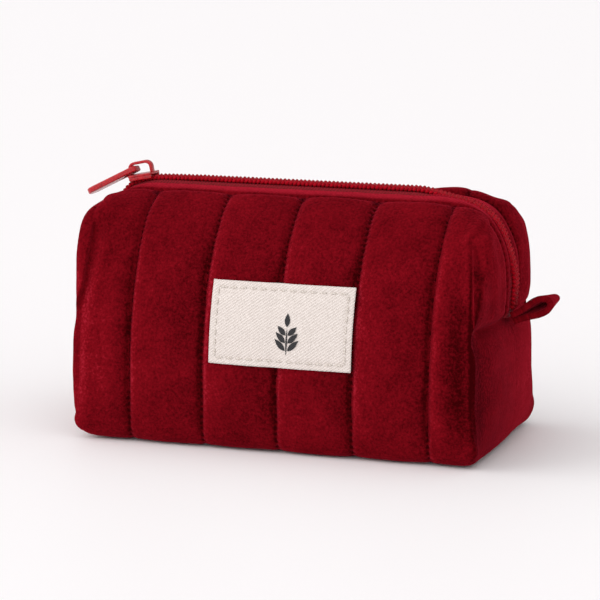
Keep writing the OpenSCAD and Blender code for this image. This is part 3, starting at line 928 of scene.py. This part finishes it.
def build_pull():
    """The tab: an eye round the strap at one end, rounded at the other."""
    half = PULL_W / 2
    outline = arc(PULL_L - half, 0, half, half, 90, -90, 14)
    outline += arc(0.6, -1.6, 1.35, 1.2, -90, -180, 5) + arc(0.6, 1.6, 1.35, 1.2, 180, 90, 5)
    hole = [(0.78, -1.8), (3.9, -1.8), (4.7, -1), (4.7, 1), (3.9, 1.8), (0.78, 1.8)]
    piece = make_mesh("pull_tab_casting", *holed_plate(outline, hole, PULL_T / 2), ENAMEL)
    bevel(piece, 0.42, 4)
    turn = Matrix.Rotation(math.pi, 4, "Z") @ Matrix.Rotation(PULL_DROP, 4, "Y")
    turn @= Matrix.Rotation(PULL_ROLL, 4, "X")
    piece.matrix_world = at_slider() @ Matrix.Translation(Vector(PULL_AT) * MM) @ turn
    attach(piece, "pull")
    return piece


def holed_plate(outline, hole, half):
    """A plate with a hole, from the outlines of both."""
    bm = bmesh.new()
    rings = [[bm.verts.new((x, y, half)) for x, y in ring] for ring in (outline, hole)]
    edges = [bm.edges.new((r[i], r[(i + 1) % len(r)])) for r in rings for i in range(len(r))]
    bmesh.ops.triangle_fill(bm, edges=edges, use_beauty=True, normal=(0, 0, 1))
    result = bmesh.ops.extrude_face_region(bm, geom=list(bm.faces))
    moved = [v for v in result["geom"] if isinstance(v, bmesh.types.BMVert)]
    bmesh.ops.translate(bm, verts=moved, vec=(0, 0, -2 * half))
    bmesh.ops.recalc_face_normals(bm, faces=bm.faces)
    bmesh.ops.dissolve_limit(bm, angle_limit=0.01, verts=bm.verts, edges=bm.edges)
    bm.verts.index_update()
    points = np.array([v.co for v in bm.verts])
    faces = [tuple(v.index for v in f.verts) for f in bm.faces]
    bm.free()
    return points, faces


# ---- label


def front_surface(x, z, above):
    """Points a little above the front of the quilted form; the label bridges the stitched valley."""
    half = SECTION[:len(SECTION) // 2]
    y = -np.interp(z, half[:, 1], half[:, 0])
    return np.stack([x, y - above, z], axis=1)


def label_sag(x):
    """The patch dips over the stitched line behind it and at its own ends."""
    return -0.5 * band(x, 4) - 0.35 * band(np.abs(x - LABEL_X) - LABEL_W / 2, 2) + 0.25 * np.cos(x / 9)


def build_label():
    columns, rows = 72, 40
    u, v = np.meshgrid(np.linspace(-1, 1, columns), np.linspace(-1, 1, rows))
    u, v = u.ravel(), v.ravel()
    x = LABEL_X + u * LABEL_W / 2
    z = LABEL_Z + v * LABEL_H / 2
    edge = np.minimum(LABEL_W / 2 - np.abs(x - LABEL_X), LABEL_H / 2 - np.abs(z - LABEL_Z))
    sag = label_sag(x)
    dent = -0.28 * band(edge - LABEL_STITCH_IN, 0.65)
    at = front_surface(x, z, 0.95 + sag + dent)
    at[:, 1] -= 0.12 * field(at, 5, 4)
    piece = make_mesh("label_cloth", at, grid_faces(rows, columns), LABEL)
    modifier(piece, "SOLIDIFY", thickness=0.45 * MM, offset=0)
    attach(piece, "pouch")
    return piece


def build_label_stitches():
    """Running stitches a little inside all four edges."""
    half_w, half_h = LABEL_W / 2 - LABEL_STITCH_IN, LABEL_H / 2 - LABEL_STITCH_IN
    along, up = 13, 7  # stitches on a long edge and on a short one
    half_along, half_up = 1.15, 1.1  # half the length of each
    dashes = []
    for sign in (-1, 1):
        for i in range(along):
            mid = (i - along // 2) * 2 * half_w / along
            dashes.append(((mid - half_along, sign * half_h), (mid + half_along, sign * half_h)))
        for i in range(up):
            mid = (i - up // 2) * 2 * half_h / up
            dashes.append(((sign * half_w, mid - half_up), (sign * half_w, mid + half_up)))
    strands = []
    for (x0, z0), (x1, z1) in dashes:
        t = np.linspace(0, 1, 7)
        arch = 0.3 * np.sin(t * math.pi) - 0.12
        x, z = LABEL_X + x0 + (x1 - x0) * t, LABEL_Z + z0 + (z1 - z0) * t
        strands.append(tube(front_surface(x, z, 1.05 + label_sag(x) + arch), 0.25, 6))
    piece = make_mesh("label_running_stitches", *gather(strands), LABEL_THREAD)
    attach(piece, "pouch")
    return piece


def leaf(at, heading, length, width):
    """Outline of a pointed leaf on the flat label: base, heading in degrees, length and width in mm."""
    t = np.linspace(0, 1, 15)
    half = width / 2 * np.sin(np.pi * t**0.85)
    up = np.stack([t * length, half], axis=1)
    ring = np.concatenate([up, up[-2:0:-1] * (1, -1)])
    turn = math.radians(heading)
    spin = np.array([[math.cos(turn), math.sin(turn)], [-math.sin(turn), math.cos(turn)]])
    return ring @ spin + at


def build_label_print():
    """A plain leaf sprig printed low on the label."""
    base = np.array([2.6, -9.6])
    outlines = [leaf(base, 90, 9.4, 0.6), leaf(base + (0, 9.6), 90, 4.6, 2.0)]
    for height, length in ((1.6, 5.4), (4.2, 5.0), (6.8, 4.2)):
        outlines += [leaf(base + (side * 0.45, height), 90 - side * 46, length, 1.9) for side in (-1, 1)]
    parts = []
    for ring in outlines:
        x, z = LABEL_X + ring[:, 0], LABEL_Z + ring[:, 1]
        parts.append((front_surface(x, z, 1.36 + label_sag(x)), [tuple(range(len(ring)))]))
    piece = make_mesh("label_leaf_print", *gather(parts), PRINT)
    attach(piece, "pouch")
    return piece


# ---- loop


LOOP_AT, LOOP_TILT = (73.8, 0.0, 46.0), math.radians(26)
LOOP_L, RIBBON_W, RIBBON_T = 15.5, 10.0, 2.1
# Half the loop's opening along its length: share of the length, distance.
LOOP_HALF_GAP = [(0, 0.9), (0.2, 1), (0.4, 1.4), (0.6, 1.9), (0.75, 2), (0.88, 1.7), (0.97, 0.9), (1, 0)]


def build_loop():
    """A ribbon folded into a loop: flat against itself at the seam, open towards its rounded end."""
    upper = smooth_curve([(s * (LOOP_L - 0.8), g) for s, g in LOOP_HALF_GAP], 5)
    middle = np.concatenate([upper, upper[-2::-1] * (1, -1)])
    middle[:, 1] *= np.where(middle[:, 1] > 0, 1.1, 0.95)
    cos_t, sin_t = math.cos(LOOP_TILT), math.sin(LOOP_TILT)
    rows = []
    for w in np.linspace(-1, 1, 11):
        open_w = 0.86 - 0.38 * w  # narrower towards the back
        x = LOOP_AT[0] + middle[:, 0] * cos_t - middle[:, 1] * open_w * sin_t
        z = LOOP_AT[2] + middle[:, 0] * sin_t + middle[:, 1] * open_w * cos_t
        rows.append(np.stack([x, np.full(len(x), w * RIBBON_W / 2), z], axis=1))
    faces = grid_faces(len(rows), len(middle))
    piece = make_mesh("loop_velvet_ribbon", np.concatenate(rows), faces, RIBBON)
    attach(piece, "loop")
    modifier(piece, "SUBSURF", levels=1, render_levels=1)
    modifier(piece, "SOLIDIFY", thickness=RIBBON_T * MM, offset=0)
    return piece


# ---- stage, light and camera


SKY, SKY_SLOPE = 0.98, (-0.15, -0.5, 0.0)  # strength of the sky, brighter in front and on the left
KEY_STRENGTH, KEY_WIDTH, KEY_WAY = 0.6, math.radians(50), (0.80, 0.30, -0.52)
VIEW_AZIMUTH, VIEW_ELEVATION = math.radians(19.1), math.radians(10.7)
VIEW_TARGET, VIEW_DISTANCE, LENS = (-0.0044, 0, 0.0469), 0.9564, 163.1


def build_stage():
    """A wide pale floor under an almost even white sky."""
    bpy.ops.mesh.primitive_plane_add(size=30)
    floor = bpy.context.object
    floor.name = "floor"
    floor.data.materials.append(plain_floor("floor_paint"))
    world = bpy.data.worlds.new("white_room")
    bpy.context.scene.world = world
    world.use_nodes = True
    tree = world.node_tree
    background = tree.nodes["Background"]
    background.inputs["Color"].default_value = (1.0, 0.98, 0.985, 1)
    place = tree.nodes.new("ShaderNodeTexCoord")
    slope = tree.nodes.new("ShaderNodeVectorMath")
    slope.operation = "DOT_PRODUCT"
    slope.inputs[1].default_value = SKY_SLOPE
    total = tree.nodes.new("ShaderNodeMath")
    total.inputs[1].default_value = SKY
    tree.links.new(place.outputs["Generated"], slope.inputs[0])
    tree.links.new(slope.outputs["Value"], total.inputs[0])
    tree.links.new(total.outputs[0], background.inputs["Strength"])


def build_lights():
    """A broad key light from the left, high up: a sun, so the floor stays even out to the horizon."""
    data = bpy.data.lights.new("key", "SUN")
    data.energy, data.angle, data.color = KEY_STRENGTH, KEY_WIDTH, (1.0, 0.985, 0.98)
    light = bpy.data.objects.new("key", data)
    light.rotation_euler = Vector(KEY_WAY).to_track_quat("-Z", "Y").to_euler()
    bpy.context.scene.collection.objects.link(light)


def build_camera():
    """The photo's view: a long lens, a little above and to the right of the front."""
    level = math.cos(VIEW_ELEVATION)
    forward = Vector((-math.sin(VIEW_AZIMUTH) * level, math.cos(VIEW_AZIMUTH) * level,
                      -math.sin(VIEW_ELEVATION)))
    data = bpy.data.cameras.new("camera")
    data.lens, data.sensor_width = LENS, 36.0
    camera = bpy.data.objects.new("camera", data)
    camera.location = Vector(VIEW_TARGET) - forward * VIEW_DISTANCE
    camera.rotation_euler = forward.to_track_quat("-Z", "Y").to_euler()
    bpy.context.scene.collection.objects.link(camera)
    bpy.context.scene.camera = camera
    bpy.context.scene.view_settings.view_transform = "Standard"


for side, word in ((-1, "front"), (1, "back")):
    shell = build_shell(side, word)
    lining = build_lining(side, word)
    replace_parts(shell, word + "_shoulder", word + "_left_corner", word + "_right_corner", word + "_wadding",
                word + "_topstitch", word + "_quilting_thread")
    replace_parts(lining, word + "_lining")
    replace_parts(build_tape(side, word), word + "_tape")
    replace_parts(build_coil(side, word), word + "_coil")
    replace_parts(build_coil_thread(side, word), word + "_coil_thread")
    if side < 0:
        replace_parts(shell, "body_panel", "left_end_panel", "right_end_panel", "wadding_lower",
                    "quilting_thread_lower")
        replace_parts(lining, "lining_lower")
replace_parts(build_slider(), "slider_body")
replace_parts(build_bail(), "slider_bail")
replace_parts(build_pull(), "pull_tab")
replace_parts(build_label(), "label")
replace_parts(build_label_print(), "label")
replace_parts(build_label_stitches(), "label_stitching")
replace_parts(build_loop(), "loop_ribbon")
build_stage()
build_lights()
build_camera()
